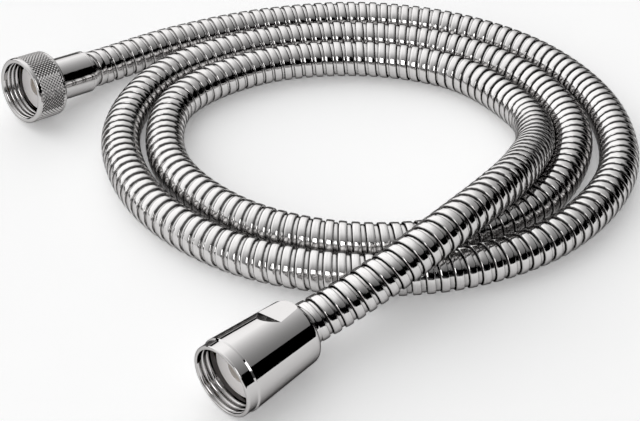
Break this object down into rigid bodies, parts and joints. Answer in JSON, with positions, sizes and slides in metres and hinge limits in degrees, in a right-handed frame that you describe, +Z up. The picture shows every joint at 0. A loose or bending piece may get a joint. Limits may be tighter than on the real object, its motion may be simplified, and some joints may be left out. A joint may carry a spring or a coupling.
{
  "type": "shower hose",
  "caption": "Flexible chromed metal shower hose lying in flat loops, with a knurled union nut at its valve end and a conical union nut at its handset end.",
  "frame": {"origin": "on the surface that the hose lies on, under the middle of its outline", "axes": "+X along the hose's longest reach, +Y away from the picture's camera, +Z up from the surface"},
  "size_m": [0.2341, 0.2245, 0.0301],
  "materials": {
    "chrome_armour": "polished chrome on wound strip",
    "chrome_nuts": "polished chrome, turned and knurled",
    "chrome_ferrules": "polished chrome, drawn and crimped",
    "brass": "turned",
    "dark_rubber": "extruded, matt",
    "pale_rubber": "moulded, matt"
  },
  "bodies": {
    "hose": {"hose_armour": "chrome_armour", "inner_tube": "dark_rubber", "valve_ferrule": "chrome_ferrules", "valve_tail": "brass", "valve_washer": "pale_rubber", "handset_ferrule": "chrome_ferrules", "handset_tail": "brass", "handset_washer": "pale_rubber"},
    "knurled_nut": {"knurled_nut": "chrome_nuts"},
    "conical_nut": {"conical_nut": "chrome_nuts"}
  },
  "joints": [
    {"name": "knurled_nut_swivel", "type": "hinge", "parent": "hose", "child": "knurled_nut", "pos_m": [-0.10803, 0.04081, 0.01426], "axis": [-0.6766, -0.7155, 0.1736], "continuous": true},
    {"name": "conical_nut_swivel", "type": "hinge", "parent": "hose", "child": "conical_nut", "pos_m": [-0.02519, -0.10439, 0.01223], "axis": [-0.7007, -0.713, 0.0262], "continuous": true}
  ]
}
